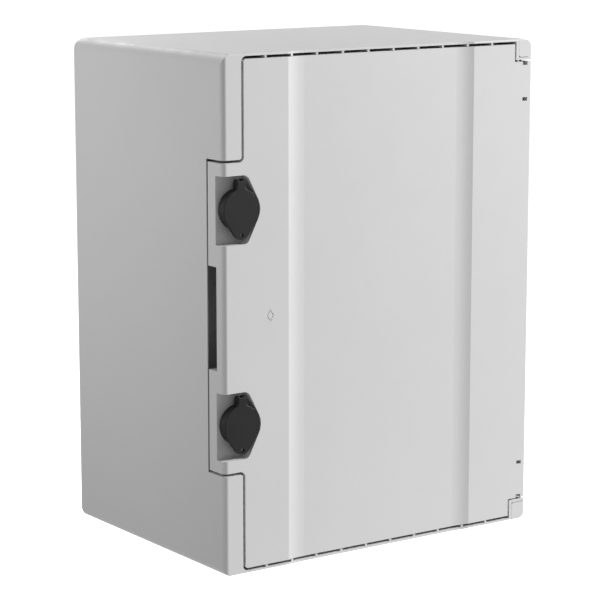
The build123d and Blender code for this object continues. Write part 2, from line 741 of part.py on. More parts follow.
def din_rail(z):
    """A 35 mm top-hat rail with a row of slots."""
    back = PLATE_FACE
    x = (-RAIL_HALF_X, RAIL_HALF_X)
    rail = block(x, (back - RAIL_SHEET, back), (z - RAIL_HAT_Z, z + RAIL_HAT_Z))
    for sign in (-1, 1):
        side = sorted((z + sign * (RAIL_HAT_Z - RAIL_SHEET), z + sign * RAIL_HAT_Z))
        lip = sorted((z + sign * (RAIL_HAT_Z - RAIL_SHEET), z + sign * RAIL_HALF_Z))
        rail += block(x, (RAIL_FACE, back), side)
        rail += block(x, (RAIL_FACE, RAIL_FACE + RAIL_SHEET), lip)
    slots = int(2 * RAIL_HALF_X // 25)
    for i in range(slots):
        slot_x = (i - (slots - 1) / 2) * 25
        if abs(abs(slot_x) - RAIL_SCREW_X) > 13:
            rail -= front_prism(Pos(slot_x, z) * SlotOverall(15, 6.2), back - 2, back + 1)
    for screw_x in (-RAIL_SCREW_X, RAIL_SCREW_X):
        rail -= rod_y(screw_x, z, 2 + RUN, back - 2, back + 1)
    return rail


def rail_screws():
    return group(
        [
            pan_screw(x, z, PLATE_FACE - RAIL_SHEET, PLATE_BACK + 4, 4.5, 2.6)
            for x in (-RAIL_SCREW_X, RAIL_SCREW_X)
            for z in (UPPER_RAIL_Z, LOWER_RAIL_Z)
        ]
    )


def out(distance):
    """Y of a plane that stands the given distance in front of the rails' face."""
    return RAIL_FACE - distance


def device(x, half_w, z, v, w):
    """A box on a rail: v are heights about the rail's middle, w distances from its face."""
    return block((x - half_w, x + half_w), (out(w[1]), out(w[0])), (z + v[0], z + v[1]))


def claws(x, half_w, z):
    """The two hooks that grip the rail's lips from behind."""
    hooks = device(x, half_w, z, (RAIL_HALF_Z + 0.2, RAIL_HALF_Z + 3), (-3, SEAT + 1))
    hooks += device(x, half_w, z, (RAIL_HALF_Z - 1.2, RAIL_HALF_Z + 1), (-3, -1.2))
    hooks += device(x, half_w, z, (-RAIL_HALF_Z - 3, -RAIL_HALF_Z - 0.2), (-3, SEAT + 1))
    return hooks + device(x, half_w, z, (-RAIL_HALF_Z - 1, -RAIL_HALF_Z + 1.2), (-3, -1.2))


# ------------------------------------------------------------------ fuse holders
def fuse_x(i):
    return FUSE_FIRST_X + i * FUSE_PITCH


def fuse_base(i):
    x, z = fuse_x(i), UPPER_RAIL_Z
    half = FUSE_WIDTH / 2
    base = device(x, half, z, (-40, 40), (SEAT, 32))
    base = fillet(base.edges().filter_by(Axis.X).group_by(Axis.Y)[0], 2)
    base += device(x, half, z, (-24, 24), (30, 52))
    base -= device(x, 6.5, z, (-21, 21), (14, 60))
    base -= device(x, 6.5, z, (-27, -20), (38, 60))
    pivot_z, pivot_y = z + FUSE_PIVOT[0], out(FUSE_PIVOT[1])
    base -= rod_x(pivot_y, pivot_z, 1.6 + RUN, x - 7.5, x + 7.5)
    base -= device(x, 3, z, (32, 41), (14.5, 17.5))
    base -= device(x, 3, z, (-41, -32), (14.5, 17.5))
    for v in (-32, 32):
        base -= rod_y(x, z + v, 2.6, out(33), out(24))
    return base + claws(x, half - 2, z)


def fuse_carrier(i):
    x, z = fuse_x(i), UPPER_RAIL_Z
    pivot_z, pivot_y = z + FUSE_PIVOT[0], out(FUSE_PIVOT[1])
    carrier = device(x, 6.2, z, (-20.5, 20.5), (36, 56))
    carrier = carrier & rod_x(pivot_y, pivot_z, 37.7, x - 7, x + 7)
    carrier += device(x, 5.2, z, (8, 19), (55, 65))
    carrier = carrier - rod_x(out(62), z + 5.5, 5, x - 7, x + 7)
    carrier -= rod_z(x, out(42), 5.1, z - 19.6, z + 18.6)
    carrier -= device(x, 4.4, z, (-19.6, 18.6), (34, 42))
    for ends in ((x - 7.4, x - 5.6), (x + 5.6, x + 7.4)):
        carrier += rod_x(pivot_y, pivot_z, 1.6, *ends)
    return carrier


def fuse_link(i):
    """A 10 by 38 mm fuse: ceramic barrel with two metal ferrules."""
    x, z, y = fuse_x(i), UPPER_RAIL_Z, out(42)
    low, high = z - 19.5, z + 18.5
    link = rod_z(x, y, 4.8, low, high)
    for end in ((low, low + 9), (high - 9, high)):
        ferrule = rod_z(x, y, 5.0, *end)
        link += ferrule
    return link


def comb(first_x, pitch, count, z, inner, outer, end_x):
    """A copper comb: one prong for each device, from height inner to a bar that ends at outer."""
    bar_z = sorted((z + outer, z + outer - math.copysign(COMB_BAR, outer)))
    prong_z = sorted((z + inner, z + outer - math.copysign(COMB_BAR / 2, outer)))
    y = (out(COMB_DEPTH + 1), out(COMB_DEPTH - 1))
    shape = block((first_x - 4, end_x), y, bar_z)
    for i in range(count):
        x = first_x + i * pitch
        shape += block((x - 2.4, x + 2.4), y, prong_z)
    return shape


# ------------------------------------------------------------------ surge arrester
def spd_x(i):
    return SPD_FIRST_X + i * SPD_PITCH


def spd_base():
    x, z = spd_x(1), LOWER_RAIL_Z
    half = SPD_PITCH * SPD_COUNT / 2
    base = device(x, half, z, (-45, 45), (SEAT, 44))
    base = fillet(base.edges().filter_by(Axis.X).group_by(Axis.Y)[0], 2)
    base -= device(x, half + 1, z, (-25, 25), (20, 50))
    for i in range(SPD_COUNT):
        for v in (-35, 35):
            base -= rod_y(spd_x(i), z + v, 2.6, out(45), out(36))
        for v in (-20, 20):
            base -= device(spd_x(i), 3, z, (v - 2, v + 2), (12, 21))
        base -= rod_z(spd_x(i), out(30), 3.2, z + 36, z + 46)
        base -= rod_z(spd_x(i), out(30), 3.2, z - 46, z - 36)
    return base + claws(x, half - 3, z)


def spd_cartridge(i):
    """A plug-in module with two contact blades, a status window and a grip."""
    x, z = spd_x(i), LOWER_RAIL_Z
    half = SPD_PITCH / 2 - 0.2
    body = device(x, half, z, (-24.6, 24.6), (20.3, 58))
    body = fillet(body.edges().filter_by(Axis.X).group_by(Axis.Y)[0], 3)
    for v in (-20, 20):
        body += device(x, 1.5, z, (v - 1.5, v + 1.5), (13, 21))
    body -= device(x, 3, z, (4, 10), (57, 60))
    for v in (-14, 14):
        body -= device(x, half + 1, z, (v - 1, v + 1), (56.8, 60))
    return body


# ------------------------------------------------------------------ switch
def switch_body():
    x, z = SWITCH_X, LOWER_RAIL_Z
    body = device(x, SWITCH_HALF, z, (-40, 40), (SEAT, 38))
    body = fillet(body.edges().filter_by(Axis.X).group_by(Axis.Y)[0], 2)
    body += device(x, SWITCH_HALF - 4, z, (-27, 27), (36, 50))
    for i in range(4):
        terminal_x = x + (i - 1.5) * 16
        for v in (-34, 34):
            body -= rod_y(terminal_x, z + v, 3, out(39), out(30))
        body -= rod_z(terminal_x, out(22), 3.6, z + 30, z + 41)
        body -= rod_z(terminal_x, out(22), 3.6, z - 41, z - 30)
    body -= rod_y(x, z, 4 + RUN, out(51), out(30))
    return body + claws(x, SWITCH_HALF - 6, z)


def switch_knob():
    x, z = SWITCH_X, LOWER_RAIL_Z
    knob = rod_y(x, z, 21, out(57), out(50.3))
    knob = fillet(knob.edges().group_by(Axis.Y)[0], 1.5)
    grip = front_prism(Pos(x, z) * Rotation(0, 0, 90) * SlotOverall(38, 11), out(72), out(56))
    grip = fillet(grip.edges().group_by(Axis.Y)[0], 2)
    knob += grip
    knob += rod_y(x, z, 4, out(51), out(31))
    return knob - device(x, 0.8, z, (10, 17), (71, 73))


# ------------------------------------------------------------------ terminals and stops
def terminal_x(i):
    return TERMINAL_FIRST_X + i * TERMINAL_PITCH


def terminal_block(i):
    x, z = terminal_x(i), UPPER_RAIL_Z
    half = TERMINAL_PITCH / 2 - 0.1
    body = device(x, half, z, (-30, 30), (SEAT, 26))
    body += device(x, half, z, (-18, 18), (25, 42))
    body = fillet(body.edges().filter_by(Axis.X).group_by(Axis.Y)[0], 2)
    for v in (-23, 23):
        body -= rod_y(x, z + v, 2.4, out(27), out(17))
    for v in ((25, 31), (-31, -25)):
        body -= device(x, 2.6, z, v, (14.5, 17.5))
    body -= rod_z(x, out(9), 2.8, z - 31, z - 20)
    return body + claws(x, half, z)


def terminal_screws():
    screws = []
    for i in range(TERMINAL_COUNT):
        for v in (-23, 23):
            screws.append(slotted_screw(terminal_x(i), UPPER_RAIL_Z + v, 2.3, out(19.5), out(17.2)))
    return screws


def slotted_screw(x, z, radius, face, seat):
    screw = rod_y(x, z, radius, face, seat)
    return screw - block((x - radius, x + radius), (face - 1, face + 0.8), (z - 0.35, z + 0.35))


def clamp_screws():
    """The slotted screws of every clamp on the two rails."""
    screws = terminal_screws()
    for i in range(FUSE_COUNT):
        for v in (-32, 32):
            screws.append(slotted_screw(fuse_x(i), UPPER_RAIL_Z + v, 2.5, out(27), out(24.1)))
    for i in range(SPD_COUNT):
        for v in (-35, 35):
            screws.append(slotted_screw(spd_x(i), LOWER_RAIL_Z + v, 2.5, out(39), out(36.1)))
    for i in range(4):
        for v in (-34, 34):
            x = SWITCH_X + (i - 1.5) * 16
            screws.append(slotted_screw(x, LOWER_RAIL_Z + v, 2.9, out(33), out(30.1)))
    return group(screws)


def end_stops():
    upper = [FUSE_FIRST_X - 14, fuse_x(FUSE_COUNT - 1) + 14, terminal_x(TERMINAL_COUNT - 1) + 9.5]
    lower = [SPD_FIRST_X - 14, spd_x(SPD_COUNT - 1) + 14, SWITCH_X + SWITCH_HALF + 5]
    stops = []
    for z, places in ((UPPER_RAIL_Z, upper), (LOWER_RAIL_Z, lower)):
        for x in places:
            stop = device(x, 4, z, (-22, 22), (SEAT, 30))
            stop = fillet(stop.edges().filter_by(Axis.X).group_by(Axis.Y)[0], 4)
            stop -= rod_y(x, z, 2.4, out(31), out(18))
            stops.append(stop + claws(x, 4, z))
    return group(stops)


# ------------------------------------------------------------------ earth bar
def earth_supports():
    supports = []
    for x in (-EARTH_HALF + 6, EARTH_HALF - 6):
        foot = block((x - 8, x + 8), (PLATE_FACE - 14, PLATE_FACE), (EARTH_Z - 9, EARTH_Z + 9))
        foot = fillet(foot.edges().filter_by(Axis.Y), 2)
        supports.append(foot - rod_y(x, EARTH_Z, 2 + RUN, PLATE_FACE - 15, PLATE_FACE + 1))
    return group(supports)


def earth_screw_x(i):
    return (i - (EARTH_SCREWS - 1) / 2) * 14


def earth_bar():
    back = PLATE_FACE - 14
    bar = block((-EARTH_HALF, EARTH_HALF), (back - 8, back), (EARTH_Z - 6, EARTH_Z + 6))
    bar = chamfer(bar.edges().filter_by(Axis.X), 0.6)
    for x in (-EARTH_HALF + 6, EARTH_HALF - 6):
        bar -= rod_y(x, EARTH_Z, 2 + RUN, back - 9, back + 1)
    for i in range(EARTH_SCREWS):
        bar -= rod_y(earth_screw_x(i), EARTH_Z, 2 + RUN, back - 9, back - 2)
        bar -= rod_z(earth_screw_x(i), back - 4, 2.7, EARTH_Z - 7, EARTH_Z + 7)
    return bar


def earth_screws():
    back = PLATE_FACE - 14
    screws = [
        pan_screw(x, EARTH_Z, back - 8, PLATE_BACK + 2, 4.4, 2.6)
        for x in (-EARTH_HALF + 6, EARTH_HALF - 6)
    ]
    screws += [
        pan_screw(earth_screw_x(i), EARTH_Z, back - 8, back - 6.9, 4.0, 3.0)
        for i in range(EARTH_SCREWS)
    ]
    return group(screws)


# ------------------------------------------------------------------ glands and vent
def gland_body(x, y, radius):
    flats = 2 * radius + 5
    body = hex_z(x, y, flats, -HALF_H - 5, -HALF_H)
    body += rod_z(x, y, radius, -HALF_H - 1, -INNER_Z + 9)
    body += rod_z(x, y, radius - 0.6, -HALF_H - 14, -HALF_H - 4)
    return body - rod_z(x, y, 0.62 * radius, -HALF_H - 30, -INNER_Z + 10)


def gland_cap(x, y, radius):
    low = -HALF_H - 15 - 0.55 * radius
    top = -HALF_H - 5.3
    flats = 2 * radius + 4
    nut_low = top - 9
    cap = hex_z(x, y, flats, nut_low, top)
    dome = Cone(radius + 1.6, 0.72 * radius, nut_low - low)
    cap += Pos(x, y, (low + nut_low) / 2) * Rot(180, 0, 0) * dome
    cap -= rod_z(x, y, radius - 0.5, -HALF_H - 14.5, top + 1)
    return cap - rod_z(x, y, 0.5 * radius, low - 1, top)


def gland_seal(x, y, radius):
    top = -HALF_H - 14.5
    low = -HALF_H - 15 - 0.55 * radius
    seal = rod_z(x, y, 0.5 * radius - RUN, low + 0.3, top)
    return seal - rod_z(x, y, 0.5 * radius - 1.4, low - 1, top + 1)


def gland_nut(x, y, radius):
    nut = hex_z(x, y, 2 * radius + 6, -INNER_Z, -INNER_Z + 5)
    return nut - rod_z(x, y, radius + RUN, -INNER_Z - 1, -INNER_Z + 6)


def vent_plug():
    x, y = VENT
    plug = rod_z(x, y, 9, -HALF_H - 7, -HALF_H)
    plug = fillet(plug.edges().group_by(Axis.Z)[0], 1.5)
    plug += rod_z(x, y, VENT_R, -HALF_H - 1, -INNER_Z + 8)
    notch = block((8.2, 10), (-0.8, 0.8), (-HALF_H - 6, -HALF_H - 1))
    for angle in range(0, 360, 45):
        plug -= Pos(x, y, 0) * Rot(0, 0, angle) * notch
    return plug - rod_z(x, y, 3.5, -HALF_H - 5, -INNER_Z + 9)


def vent_nut():
    x, y = VENT
    nut = hex_z(x, y, 18, -INNER_Z, -INNER_Z + 4)
    return nut - rod_z(x, y, VENT_R + RUN, -INNER_Z - 1, -INNER_Z + 5)


# ------------------------------------------------------------------ leads
def lead(points):
    """A round lead along straight runs joined by the largest arcs that their lengths allow."""
    corners = [Vector(*p) for p in points]
    radii = []
    for before, here, after in zip(corners, corners[1:], corners[2:]):
        arriving, leaving = here - before, after - here
        turn = math.radians(arriving.get_angle(leaving))
        shorter = min(arriving.length, leaving.length)
        radii.append(0.45 * shorter / math.tan(turn / 2))
    path = FilletPolyline(*corners, radius=radii)
    start = Plane(origin=path @ 0, z_dir=path % 0)
    return sweep(start * Circle(LEAD_R), path=path)


def comb_point(x, height):
    return (x, out(COMB_DEPTH), UPPER_RAIL_Z + height)


def switch_top(i):
    return (SWITCH_X + (i - 1.5) * 16, out(22), LOWER_RAIL_Z + 32)


def spd_end(i, height):
    return (spd_x(i), out(30), LOWER_RAIL_Z + height)


def positive_leads():
    under_bar = POSITIVE_COMB[1] - COMB_BAR - LEAD_GAP
    bar_middle = POSITIVE_COMB[1] - COMB_BAR / 2
    to_switch = lead(
        [
            comb_point(8, under_bar),
            comb_point(8, under_bar - 22),
            (7.6, -43.5, 66),
            (8.6, -45.5, 24),
            (10, out(22), 0),
            switch_top(0),
        ]
    )
    to_arrester = lead(
        [
            comb_point(FUSE_FIRST_X - 4 - LEAD_GAP, bar_middle),
            comb_point(-94, bar_middle),
            (-106, -43, 108),
            (-107, -47, 74),
            (-102, -51, 42),
            (-86, -54, 22),
            spd_end(0, 60),
            spd_end(0, 37),
        ]
    )
    return group([to_switch, to_arrester])


def negative_leads():
    bar_middle = NEGATIVE_COMB[1] + COMB_BAR / 2
    to_switch = lead(
        [
            comb_point(54, NEGATIVE_COMB[1] - LEAD_GAP),
            comb_point(54, NEGATIVE_COMB[1] - 15),
            (58, out(22), 0),
            switch_top(3),
        ]
    )
    to_arrester = lead(
        [
            comb_point(TERMINAL_FIRST_X - 4 - LEAD_GAP, bar_middle),
            comb_point(-2, bar_middle),
            (-16, -41, 32),
            (-28, -49, 20),
            spd_end(2, 54),
            spd_end(2, 37),
        ]
    )
    return group([to_switch, to_arrester])


def earth_lead():
    bar_y = PLATE_FACE - 18
    return lead(
        [
            spd_end(1, -37),
            spd_end(1, -54),
            (earth_screw_x(0), bar_y, EARTH_Z + 24),
            (earth_screw_x(0), bar_y, EARTH_Z + 1),
        ]
    )


# ------------------------------------------------------------------ build
os.makedirs("parts", exist_ok=True)

LOCKS = (("upper", LOCK_Z), ("lower", -LOCK_Z))
HINGES = (("upper", 1), ("lower", -1))

save(enclosure_body(), "enclosure_body")
save(hinge_caps(), "hinge_caps")
save(door_panel(), "door_panel")
save(door_gasket(), "door_gasket")
for place, sign in HINGES:
    save(hinge_pin(sign), f"{place}_hinge_pin")
save(group([lock_housing(z) for _, z in LOCKS]), "lock_housings")
save(group([lock_nut(z) for _, z in LOCKS]), "lock_nuts")
save(group([lock_cover_pin(z) for _, z in LOCKS]), "lock_cover_pins")
for place, z in LOCKS:
    save(lock_cover(z), f"{place}_lock_cover")
    save(lock_barrel(z), f"{place}_lock_barrel")
    save(lock_cam(z), f"{place}_lock_cam")
    save(cam_screw(z), f"{place}_cam_screw")

save(mounting_plate(), "mounting_plate")
save(plate_screws(), "plate_screws")
save(din_rail(UPPER_RAIL_Z), "upper_din_rail")
save(din_rail(LOWER_RAIL_Z), "lower_din_rail")
save(rail_screws(), "rail_screws")
save(group([fuse_base(i) for i in range(FUSE_COUNT)]), "fuse_bases")
for i in range(FUSE_COUNT):
    save(fuse_carrier(i), f"fuse_carrier_{i + 1}")
    save(fuse_link(i), f"fuse_link_{i + 1}")
positive = (*POSITIVE_COMB, POSITIVE_COMB_END)
negative = (*NEGATIVE_COMB, NEGATIVE_COMB_END)
save(comb(FUSE_FIRST_X, FUSE_PITCH, FUSE_COUNT, UPPER_RAIL_Z, *positive), "positive_comb")
save(comb(TERMINAL_FIRST_X, TERMINAL_PITCH, TERMINAL_COUNT, UPPER_RAIL_Z, *negative), "negative_comb")
save(positive_leads(), "positive_leads")
save(negative_leads(), "negative_leads")
save(earth_lead(), "earth_lead")
save(spd_base(), "surge_arrester_base")
for i in range(SPD_COUNT):
    save(spd_cartridge(i), f"surge_cartridge_{i + 1}")
save(switch_body(), "switch_body")
save(switch_knob(), "switch_knob")
save(group([terminal_block(i) for i in range(TERMINAL_COUNT)]), "terminal_blocks")
save(clamp_screws(), "clamp_screws")
save(end_stops(), "end_stops")
save(earth_supports(), "earth_bar_supports")
save(earth_bar(), "earth_bar")
save(earth_screws(), "earth_bar_screws")
save(group([gland_body(*g) for g in GLANDS]), "gland_bodies")
save(group([gland_cap(*g) for g in GLANDS]), "gland_caps")
save(group([gland_seal(*g) for g in GLANDS]), "gland_seals")
save(group([gland_nut(*g) for g in GLANDS]), "gland_nuts")
save(vent_plug(), "vent_plug")
save(vent_nut(), "vent_nut")
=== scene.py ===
"""Looks of a moulded plastic combiner box: materials, small fittings, light and camera."""

import json
import math

import bmesh
import bpy
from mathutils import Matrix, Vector


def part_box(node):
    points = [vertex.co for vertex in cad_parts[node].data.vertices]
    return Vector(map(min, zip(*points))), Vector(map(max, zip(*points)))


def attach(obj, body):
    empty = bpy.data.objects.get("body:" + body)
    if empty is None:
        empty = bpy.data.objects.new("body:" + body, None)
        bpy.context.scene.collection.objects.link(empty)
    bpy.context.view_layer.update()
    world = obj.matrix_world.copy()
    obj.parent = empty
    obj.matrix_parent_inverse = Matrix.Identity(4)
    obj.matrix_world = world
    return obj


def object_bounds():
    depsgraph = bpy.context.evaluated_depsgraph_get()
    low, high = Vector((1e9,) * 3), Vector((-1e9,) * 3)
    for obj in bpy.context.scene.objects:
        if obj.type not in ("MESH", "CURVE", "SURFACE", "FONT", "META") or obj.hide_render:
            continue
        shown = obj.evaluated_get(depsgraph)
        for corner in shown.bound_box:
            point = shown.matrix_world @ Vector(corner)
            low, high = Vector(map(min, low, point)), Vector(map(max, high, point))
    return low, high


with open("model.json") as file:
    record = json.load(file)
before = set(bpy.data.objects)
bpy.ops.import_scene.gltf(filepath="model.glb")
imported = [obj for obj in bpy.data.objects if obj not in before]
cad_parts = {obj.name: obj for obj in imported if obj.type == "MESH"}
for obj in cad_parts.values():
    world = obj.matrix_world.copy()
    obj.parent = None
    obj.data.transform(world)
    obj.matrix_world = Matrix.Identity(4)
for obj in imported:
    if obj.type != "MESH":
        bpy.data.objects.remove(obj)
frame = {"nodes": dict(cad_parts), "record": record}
cad_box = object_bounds()
nodes = frame["nodes"]
scene = bpy.context.scene

MM = 0.001

SURGE_COUNT = 3
FUSE_COUNT = 4
TERMINAL_COUNT = 4

ENCLOSURE = (0.600, 0.602, 0.600)

FLOOR_DROP = 0.25         # the floor lies this far below the lowest gland
FLOOR_HALF = 24.0
FLOOR_GLOW = 0.75
WORLD = 0.357
MIDDLE = (0.0, -0.11, 0.0)
LEFT_TOP = (-0.15, -0.08, 0.21)

EYE = (-1.1057, -1.6832, 0.3327)
EYE_PITCH = 10.283
EYE_YAW = 35.12
LENS_MM = 141.7


# ------------------------------------------------------------------ node helpers
class Shader:
    """A short way to write a material's nodes."""

    def __init__(self, name):
        self.material = bpy.data.materials.new(name)
        self.material.use_nodes = True
        self.tree = self.material.node_tree
        self.tree.nodes.clear()
        self.bsdf = self.add("ShaderNodeBsdfPrincipled")
        output = self.add("ShaderNodeOutputMaterial")
        self.link(self.bsdf.outputs[0], output.inputs["Surface"])
        self.coords = self.add("ShaderNodeTexCoord").outputs["Object"]

    def add(self, kind, **settings):
        node = self.tree.nodes.new(kind)
        for key, value in settings.items():
            setattr(node, key, value)
        return node

    def link(self, source, target):
        self.tree.links.new(source, target)

    def put(self, target, value):
        if isinstance(value, bpy.types.NodeSocket):
            self.link(value, target)
        elif hasattr(value, "__len__"):
            opaque = (1.0,) * (len(target.default_value) - len(value))
            target.default_value = (*value, *opaque)
        else:
            target.default_value = value

    def set(self, **values):
        for name, value in values.items():
            self.put(self.bsdf.inputs[name.replace("_", " ")], value)
        return self

    def noise(self, scale, detail=2.0, roughness=0.5, vector=None):
        node = self.add("ShaderNodeTexNoise")
        self.link(vector or self.coords, node.inputs["Vector"])
        self.put(node.inputs["Scale"], scale)
        self.put(node.inputs["Detail"], detail)
        self.put(node.inputs["Roughness"], roughness)
        return node.outputs["Fac"]

    def cells(self, scale, vector):
        """A random colour for each cell."""
        node = self.add("ShaderNodeTexVoronoi")
        self.link(vector, node.inputs["Vector"])
        self.put(node.inputs["Scale"], scale)
        return node.outputs["Color"]

    def stretched(self, factors):
        node = self.add("ShaderNodeMapping")
        self.link(self.coords, node.inputs["Vector"])
        self.put(node.inputs["Scale"], factors)
        return node.outputs[0]

    def ramp(self, value, low, high, at=(0.3, 0.7)):
        """Maps a 0..1 value to the range low..high, between the two stops."""
        node = self.add("ShaderNodeMapRange")
        self.link(value, node.inputs["Value"])
        for name, number in zip(("From Min", "From Max", "To Min", "To Max"), (*at, low, high)):
            self.put(node.inputs[name], number)
        return node.outputs[0]

    def maths(self, operation, a, b=0.0):
        node = self.add("ShaderNodeMath", operation=operation)
        self.put(node.inputs[0], a)
        self.put(node.inputs[1], b)
        return node.outputs[0]

    def blend(self, factor, a, b, mode="MIX"):
        node = self.add("ShaderNodeMix", data_type="RGBA", blend_type=mode)
        self.put(node.inputs["Factor"], factor)
        self.put(node.inputs[6], a)
        self.put(node.inputs[7], b)
        return node.outputs[2]

    def tint(self, colour, amount):
        """The colour multiplied by a value that stays near one."""
        grey = self.add("ShaderNodeCombineColor")
        for socket in grey.inputs[:3]:
            self.link(amount, socket)
        return self.blend(1.0, colour, grey.outputs[0], "MULTIPLY")

    def bump(self, *layers):
        """Stacks bump layers of (height, depth in metres)."""
        normal = None
        for height, depth in layers:
            node = self.add("ShaderNodeBump")
            self.put(node.inputs["Distance"], depth)
            self.put(node.inputs["Strength"], 1.0)
            self.link(height, node.inputs["Height"])
            if normal is not None:
                self.link(normal, node.inputs["Normal"])
            normal = node.outputs["Normal"]
        self.link(normal, self.bsdf.inputs["Normal"])
        return self


# ------------------------------------------------------------------ materials
def moulded(name, colour, roughness, mottle, depth=0.04 * MM, gloss=0.35):
    """Moulded plastic with a fine spark-eroded grain and a trace of flow mottling."""
    s = Shader(name)
    broad = s.noise(7.0, 3.0, 0.55)
    fine = s.noise(420.0, 2.0)
    shade = s.maths(
        "MULTIPLY",
        s.ramp(broad, 1.0 - mottle, 1.0 + mottle),
        s.ramp(fine, 1.0 - 0.5 * mottle, 1.0 + 0.5 * mottle),
    )
    grains = s.noise(1500.0, 2.0, 0.6)
    s.set(
        Base_Color=s.tint(colour, shade),
        Roughness=s.ramp(s.noise(60.0, 4.0), roughness - 0.04, roughness + 0.06),
        Specular_IOR_Level=gloss,
    )
    return s.bump((grains, depth)).material


def rubber(name, colour):
    s = Shader(name)
    dust = s.noise(90.0, 5.0, 0.65)
    s.set(
        Base_Color=s.blend(s.ramp(dust, 0.0, 0.35, (0.45, 0.8)), colour, (0.16, 0.155, 0.15)),
        Roughness=0.78,
        Specular_IOR_Level=0.3,
    )
    return s.bump((s.noise(1200.0, 3.0), 0.05 * MM)).material


def plated_steel(name, colour, roughness):
    """Plated steel with fine drawn lines along X and a few dull patches."""
    s = Shader(name)
    lines = s.noise(40.0, 5.0, 0.7, vector=s.stretched((1.0, 60.0, 60.0)))
    patches = s.noise(28.0, 3.0, 0.6)
    dullness = s.ramp(patches, roughness - 0.06, roughness + 0.1)
    s.set(
        Base_Color=s.tint(colour, s.ramp(lines, 0.9, 1.08)),
        Metallic=1.0,
        Roughness=s.maths("ADD", dullness, s.ramp(lines, -0.04, 0.04)),
    )
    return s.bump((lines, 0.02 * MM)).material


def galvanised(name):
    """Hot-dip galvanised sheet with its patchwork of zinc crystals."""
    s = Shader(name)
    warp = s.noise(55.0, 2.0)
    node = s.add("ShaderNodeVectorMath", operation="ADD")
    s.link(s.coords, node.inputs[0])
    s.link(s.ramp(warp, -0.004, 0.004), node.inputs[1])
    crystal = s.cells(95.0, node.outputs[0])
    split = s.add("ShaderNodeSeparateColor")
    s.link(crystal, split.inputs[0])
    tone = split.outputs[0]
    s.set(
        Base_Color=s.tint((0.60, 0.62, 0.64), s.ramp(tone, 0.84, 1.08, (0.0, 1.0))),
        Metallic=1.0,
        Roughness=s.ramp(split.outputs[1], 0.36, 0.52, (0.0, 1.0)),
    )
    return s.bump((s.noise(500.0, 3.0), 0.02 * MM)).material


def cast_metal(name, colour):
    s = Shader(name)
    s.set(
        Base_Color=s.tint(colour, s.ramp(s.noise(300.0, 3.0), 0.88, 1.06)),
        Metallic=1.0,
        Roughness=s.ramp(s.noise(160.0, 4.0), 0.26, 0.42),
    )
    return s.bump((s.noise(700.0, 3.0), 0.03 * MM)).material


def tarnished(name, fresh, old):
    """Copper or brass with a light, uneven tarnish."""
    s = Shader(name)
    stain = s.noise(45.0, 5.0, 0.65)
    s.set(
        Base_Color=s.blend(s.ramp(stain, 0.0, 0.7, (0.42, 0.72)), fresh, old),
        Metallic=1.0,
        Roughness=s.ramp(stain, 0.22, 0.42),
    )
    return s.bump((s.noise(900.0, 2.0), 0.015 * MM)).material


def fuse_barrel(name):
    """Ceramic between two plated ferrules, told apart by height along the fuse."""
    s = Shader(name)
    low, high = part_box("fuse_link_1")
    ferrule = 9.0 * MM
    split = s.add("ShaderNodeSeparateXYZ")
    s.link(s.coords, split.inputs[0])
    from_middle = s.maths("ABSOLUTE", s.maths("SUBTRACT", split.outputs[2], (low.z + high.z) / 2))
    metal = s.maths("GREATER_THAN", from_middle, (high.z - low.z) / 2 - ferrule)
    speckle = s.ramp(s.noise(900.0, 2.0), 0.95, 1.03)
    ceramic = s.tint((0.80, 0.78, 0.72), speckle)
    plated = s.tint((0.72, 0.71, 0.68), s.ramp(s.noise(200.0, 4.0), 0.9, 1.05))
    s.set(
        Base_Color=s.blend(metal, ceramic, plated),
        Metallic=metal,
        Roughness=s.ramp(s.noise(150.0, 3.0), 0.22, 0.36),
    )
    return s.bump((s.noise(800.0, 2.0), 0.02 * MM)).material


def insulation(name, colour):
    """PVC insulation: slightly glossy, with the faint ripple of the strands under it."""
    s = Shader(name)
    ripple = s.noise(260.0, 3.0)
    s.set(
        Base_Color=s.tint(colour, s.ramp(ripple, 0.9, 1.08)),
        Roughness=s.ramp(ripple, 0.34, 0.46),
        Specular_IOR_Level=0.45,
    )
    return s.bump((s.noise(1100.0, 2.0), 0.02 * MM)).material


def earth_insulation(name):
    """Green insulation with a yellow stripe down two sides."""
    s = Shader(name)
    wave = s.add("ShaderNodeSeparateXYZ")
    s.link(s.coords, wave.inputs[0])
    low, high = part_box("earth_lead")
    across = s.maths("SUBTRACT", wave.outputs[0], (low.x + high.x) / 2)
    stripe = s.maths("LESS_THAN", s.maths("ABSOLUTE", across), 1.4 * MM)
    s.set(
        Base_Color=s.blend(stripe, (0.05, 0.24, 0.04), (0.74, 0.56, 0.03)),
        Roughness=s.ramp(s.noise(260.0, 3.0), 0.34, 0.46),
    )
    return s.bump((s.noise(1100.0, 2.0), 0.02 * MM)).material


def lens(name, colour):
    """A clear-coated coloured lens, faintly uneven."""
    s = Shader(name)
    s.set(
        Base_Color=s.tint(colour, s.ramp(s.noise(500.0, 2.0), 0.92, 1.05)),
        Roughness=0.12,
        Coat_Weight=0.6,
    )
    return s.material


